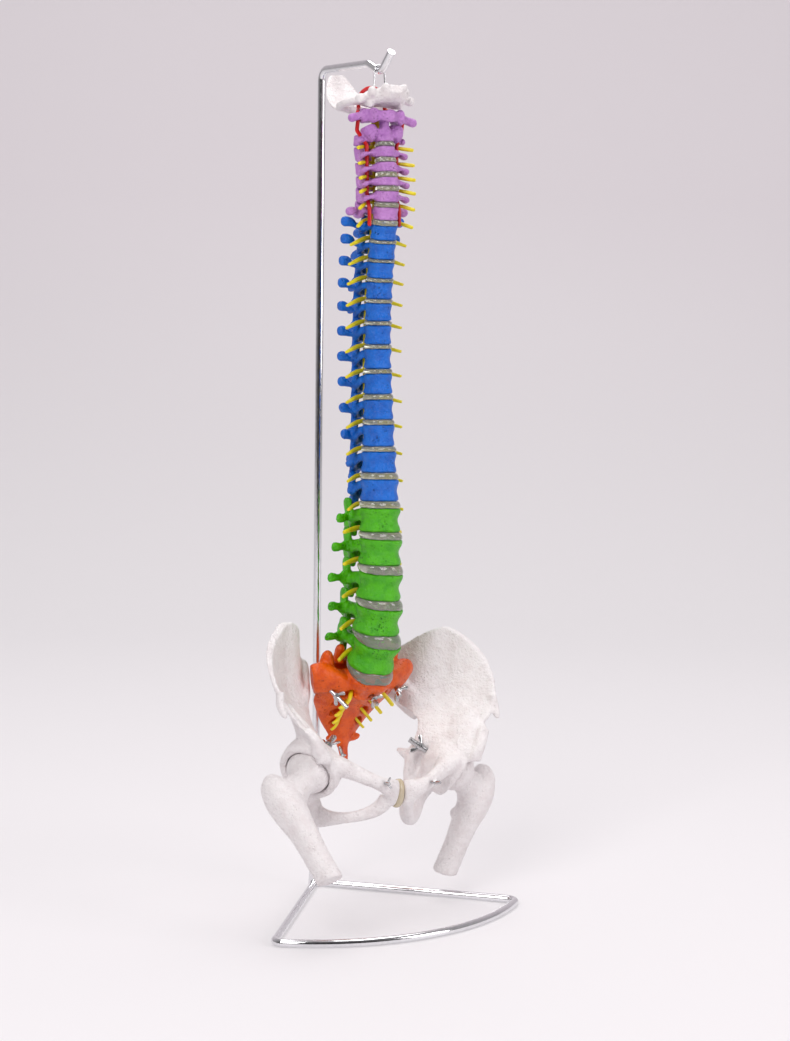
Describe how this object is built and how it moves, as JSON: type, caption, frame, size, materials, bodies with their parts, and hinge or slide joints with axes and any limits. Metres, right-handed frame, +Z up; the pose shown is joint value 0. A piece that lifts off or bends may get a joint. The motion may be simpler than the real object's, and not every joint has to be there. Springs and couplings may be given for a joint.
{
  "type": "spine anatomy model",
  "caption": "Life-size coloured vertebral column with pelvis and femur stumps, hung by a wire on a chrome rod stand with a curved sector base.",
  "frame": {"origin": "foot of the pole, on the surface that the base stands on", "axes": "+Z up along the pole, -Y to the front of the column, +X to the model's own left"},
  "size_m": [0.291, 0.2268, 0.8513],
  "materials": {
    "stand_chrome": "polished chrome plate",
    "hanger_steel": "bent spring wire",
    "fastener_steel": "plated screws and wing nuts",
    "bone_white": "cast white plastic with a fine bone texture",
    "cervical_lilac": "cast plastic, lilac",
    "thoracic_blue": "cast plastic, blue",
    "lumbar_green": "cast plastic, green",
    "sacral_orange": "cast plastic, orange red",
    "disc_clear": "clear soft plastic, slightly grey",
    "disc_tan": "soft plastic, tan",
    "nerve_yellow": "soft plastic, yellow",
    "artery_red": "soft tube, red"
  },
  "bodies": {
    "root": {"base_frame": "stand_chrome", "pole": "stand_chrome", "hanger_wire": "hanger_steel", "fasteners": "fastener_steel", "occipital_plate": "bone_white", "hip_bone_right": "bone_white", "hip_bone_left": "bone_white", "sacrum": "sacral_orange", "symphysis_disc": "disc_tan", "spinal_cord": "nerve_yellow", "vertebral_arteries": "artery_red", "c1": "cervical_lilac", "c2": "cervical_lilac", "c3": "cervical_lilac", "c4": "cervical_lilac", "c5": "cervical_lilac", "c6": "cervical_lilac", "c7": "cervical_lilac", "t1": "thoracic_blue", "t2": "thoracic_blue", "t3": "thoracic_blue", "t4": "thoracic_blue", "t5": "thoracic_blue", "t6": "thoracic_blue", "t7": "thoracic_blue", "t8": "thoracic_blue", "t9": "thoracic_blue", "t10": "thoracic_blue", "t11": "thoracic_blue", "t12": "thoracic_blue", "l1": "lumbar_green", "l2": "lumbar_green", "l3": "lumbar_green", "l4": "lumbar_green", "l5": "lumbar_green", "disc_c2_c3": "disc_clear", "disc_c3_c4": "disc_clear", "disc_c4_c5": "disc_clear", "disc_c5_c6": "disc_clear", "disc_c6_c7": "disc_clear", "disc_c7_t1": "disc_clear", "disc_t1_t2": "disc_clear", "disc_t2_t3": "disc_clear", "disc_t3_t4": "disc_clear", "disc_t4_t5": "disc_clear", "disc_t5_t6": "disc_clear", "disc_t6_t7": "disc_clear", "disc_t7_t8": "disc_clear", "disc_t8_t9": "disc_clear", "disc_t9_t10": "disc_clear", "disc_t10_t11": "disc_clear", "disc_t11_t12": "disc_clear", "disc_t12_l1": "disc_clear", "disc_l1_l2": "disc_clear", "disc_l2_l3": "disc_clear", "disc_l3_l4": "disc_clear", "disc_l4_l5": "disc_clear", "disc_l5_s1": "disc_clear"},
    "femur_right": {"femur_right": "bone_white"},
    "femur_left": {"femur_left": "bone_white"}
  },
  "joints": [
    {"name": "femur_right_swing", "type": "hinge", "parent": "root", "child": "femur_right", "pos_m": [-0.08738, -0.13261, 0.15834], "axis": [-0.7741, -0.4898, -0.4011], "range_deg": [-40, 40]},
    {"name": "femur_left_swing", "type": "hinge", "parent": "root", "child": "femur_left", "pos_m": [0.08738, -0.12339, 0.13966], "axis": [0.7188, -0.4111, -0.5607], "range_deg": [-40, 40]}
  ]
}
